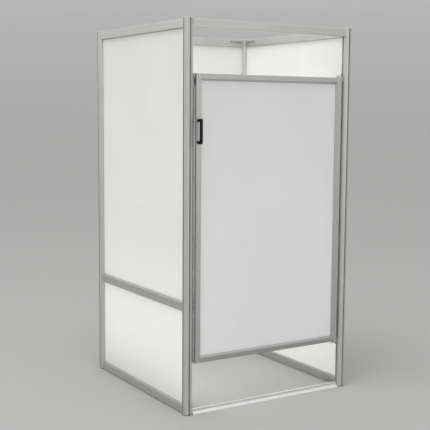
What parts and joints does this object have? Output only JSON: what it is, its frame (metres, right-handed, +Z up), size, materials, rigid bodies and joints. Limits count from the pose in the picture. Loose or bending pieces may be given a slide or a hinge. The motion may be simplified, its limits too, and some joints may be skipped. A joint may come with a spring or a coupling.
{
  "type": "modular panel booth",
  "caption": "Free-standing square booth of slotted aluminium posts and beams with white infill panels, open top, and a framed pivoting door with a bow handle.",
  "frame": {"origin": "on the floor, at the middle of the outer box's footprint", "axes": "+Z up, the door and its handle face -Y, the hinges are at +X and the handle at -X"},
  "size_m": [1.05, 1.0728, 2],
  "materials": {
    "post_aluminium": "silver anodised extrusion, satin",
    "beam_aluminium": "silver anodised extrusion, satin",
    "threshold_aluminium": "silver anodised extrusion, satin",
    "door_aluminium": "silver anodised extrusion, satin",
    "bracket_aluminium": "milled, light grey",
    "cap_plastic": "moulded grey, satin",
    "foot_plastic": "moulded black",
    "white_panel": "smooth white laminate, low sheen",
    "door_white_panel": "smooth white laminate, low sheen",
    "lock_steel": "zinc plated, dull",
    "pin_steel": "bright zinc plated",
    "black_steel": "black oxide",
    "handle_plastic": "moulded black, fine texture",
    "bush_nylon": "black nylon"
  },
  "bodies": {
    "frame": {"post_front_left": "post_aluminium", "post_cap_front_left": "cap_plastic", "foot_plug_front_left": "foot_plastic", "post_front_right": "post_aluminium", "post_cap_front_right": "cap_plastic", "foot_plug_front_right": "foot_plastic", "post_back_left": "post_aluminium", "post_cap_back_left": "cap_plastic", "foot_plug_back_left": "foot_plastic", "post_back_right": "post_aluminium", "post_cap_back_right": "cap_plastic", "foot_plug_back_right": "foot_plastic", "front_top_beam": "beam_aluminium", "front_top_lock_a": "lock_steel", "front_top_lock_b": "lock_steel", "right_top_beam": "beam_aluminium", "right_top_lock_a": "lock_steel", "right_top_lock_b": "lock_steel", "right_middle_beam": "beam_aluminium", "right_bottom_beam": "beam_aluminium", "right_bottom_lock_a": "lock_steel", "right_bottom_lock_b": "lock_steel", "right_lower_panel": "white_panel", "right_upper_panel": "white_panel", "back_top_beam": "beam_aluminium", "back_top_lock_a": "lock_steel", "back_top_lock_b": "lock_steel", "back_middle_beam": "beam_aluminium", "back_bottom_beam": "beam_aluminium", "back_bottom_lock_a": "lock_steel", "back_bottom_lock_b": "lock_steel", "back_lower_panel": "white_panel", "back_upper_panel": "white_panel", "left_top_beam": "beam_aluminium", "left_top_lock_a": "lock_steel", "left_top_lock_b": "lock_steel", "left_middle_beam": "beam_aluminium", "left_bottom_beam": "beam_aluminium", "left_bottom_lock_a": "lock_steel", "left_bottom_lock_b": "lock_steel", "left_lower_panel": "white_panel", "left_upper_panel": "white_panel", "threshold": "threshold_aluminium", "door_stop_bracket": "bracket_aluminium", "upper_hinge_bracket": "bracket_aluminium", "upper_clamp_screw": "black_steel", "upper_hinge_pin": "pin_steel", "lower_hinge_bracket": "bracket_aluminium", "lower_clamp_screw": "black_steel", "lower_hinge_pin": "pin_steel"},
    "door": {"door_hinge_stile": "door_aluminium", "door_latch_stile": "door_aluminium", "door_bottom_rail": "door_aluminium", "door_top_rail": "door_aluminium", "door_panel": "door_white_panel", "door_handle": "handle_plastic", "handle_screw_lower": "pin_steel", "handle_screw_upper": "pin_steel", "upper_hinge_bush": "bush_nylon", "lower_hinge_bush": "bush_nylon"}
  },
  "joints": [
    {"name": "door_hinge", "type": "hinge", "parent": "frame", "child": "door", "pos_m": [0.446, -0.4886, 0.265], "axis": [0, 0, 1], "range_deg": [0, 110]}
  ]
}
